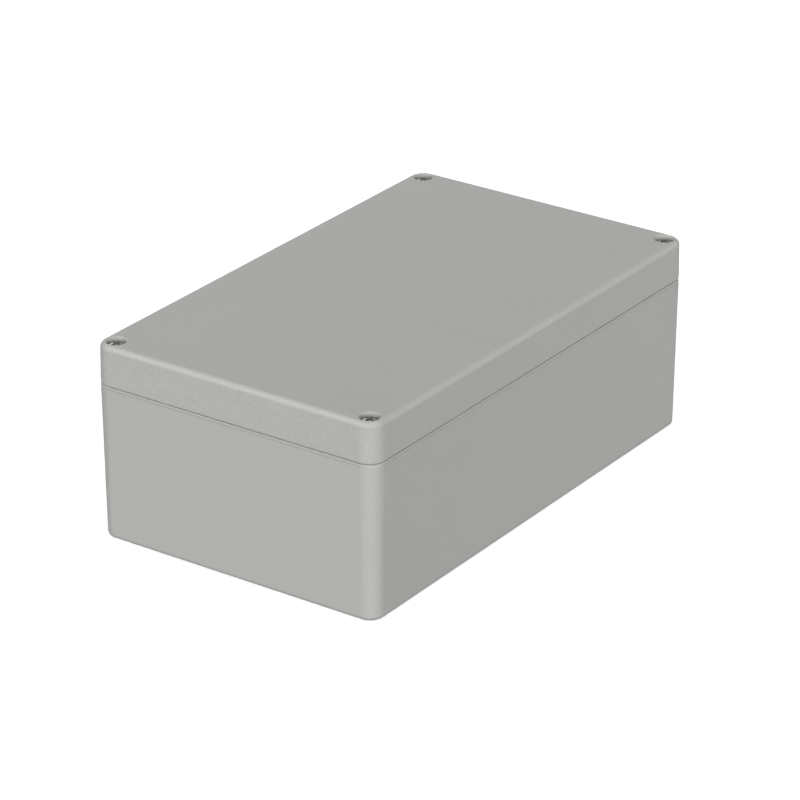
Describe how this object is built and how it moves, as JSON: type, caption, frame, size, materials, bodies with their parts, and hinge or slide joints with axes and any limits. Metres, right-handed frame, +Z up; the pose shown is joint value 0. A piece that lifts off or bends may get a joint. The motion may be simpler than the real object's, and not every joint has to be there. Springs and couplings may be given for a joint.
{
  "type": "plastic enclosure",
  "caption": "Sealed light-grey plastic enclosure: drafted base with corner towers, flat lid on a tongue and gasket, captive corner screws, wall-fixing holes and board bosses.",
  "frame": {"origin": "centre of the underside", "axes": "+X along the long side, +Y along the short side, +Z up through the lid"},
  "size_m": [0.2, 0.12, 0.075],
  "materials": {
    "housing_plastic": "fine spark-eroded grain",
    "gasket_foam": "matte foamed elastomer",
    "screw_steel": "turned stainless steel",
    "ring_nylon": "natural nylon",
    "insert_brass": "turned brass"
  },
  "bodies": {
    "base": {"enclosure_base": "housing_plastic", "thread_insert_front_left": "insert_brass", "thread_insert_front_right": "insert_brass", "thread_insert_rear_left": "insert_brass", "thread_insert_rear_right": "insert_brass"},
    "lid": {"lid": "housing_plastic", "gasket": "gasket_foam"},
    "ring_front_left": {"retaining_ring_front_left": "ring_nylon"},
    "screw_front_left": {"lid_screw_front_left": "screw_steel"},
    "ring_front_right": {"retaining_ring_front_right": "ring_nylon"},
    "screw_front_right": {"lid_screw_front_right": "screw_steel"},
    "ring_rear_left": {"retaining_ring_rear_left": "ring_nylon"},
    "screw_rear_left": {"lid_screw_rear_left": "screw_steel"},
    "ring_rear_right": {"retaining_ring_rear_right": "ring_nylon"},
    "screw_rear_right": {"lid_screw_rear_right": "screw_steel"}
  },
  "joints": [
    {"name": "lid_lift", "type": "slide", "parent": "base", "child": "lid", "axis": [0, 0, 1], "range_m": [0, 0.1]},
    {"name": "screw_rise_front_left", "type": "slide", "parent": "lid", "child": "ring_front_left", "axis": [0, 0, 1], "range_m": [0, 0.0063]},
    {"name": "screw_turn_front_left", "type": "hinge", "parent": "ring_front_left", "child": "screw_front_left", "pos_m": [-0.094, -0.054, 0.07], "axis": [0, 0, 1], "range_deg": [0, 3240]},
    {"name": "screw_rise_front_right", "type": "slide", "parent": "lid", "child": "ring_front_right", "axis": [0, 0, 1], "range_m": [0, 0.0063]},
    {"name": "screw_turn_front_right", "type": "hinge", "parent": "ring_front_right", "child": "screw_front_right", "pos_m": [0.094, -0.054, 0.07], "axis": [0, 0, 1], "range_deg": [0, 3240]},
    {"name": "screw_rise_rear_left", "type": "slide", "parent": "lid", "child": "ring_rear_left", "axis": [0, 0, 1], "range_m": [0, 0.0063]},
    {"name": "screw_turn_rear_left", "type": "hinge", "parent": "ring_rear_left", "child": "screw_rear_left", "pos_m": [-0.094, 0.054, 0.07], "axis": [0, 0, 1], "range_deg": [0, 3240]},
    {"name": "screw_rise_rear_right", "type": "slide", "parent": "lid", "child": "ring_rear_right", "axis": [0, 0, 1], "range_m": [0, 0.0063]},
    {"name": "screw_turn_rear_right", "type": "hinge", "parent": "ring_rear_right", "child": "screw_rear_right", "pos_m": [0.094, 0.054, 0.07], "axis": [0, 0, 1], "range_deg": [0, 3240]}
  ],
  "couplings": [
    {"joint": "screw_turn_front_left", "follows": "screw_rise_front_left", "rad_per_m": 8976},
    {"joint": "screw_turn_front_right", "follows": "screw_rise_front_right", "rad_per_m": 8976},
    {"joint": "screw_turn_rear_left", "follows": "screw_rise_rear_left", "rad_per_m": 8976},
    {"joint": "screw_turn_rear_right", "follows": "screw_rise_rear_right", "rad_per_m": 8976}
  ]
}
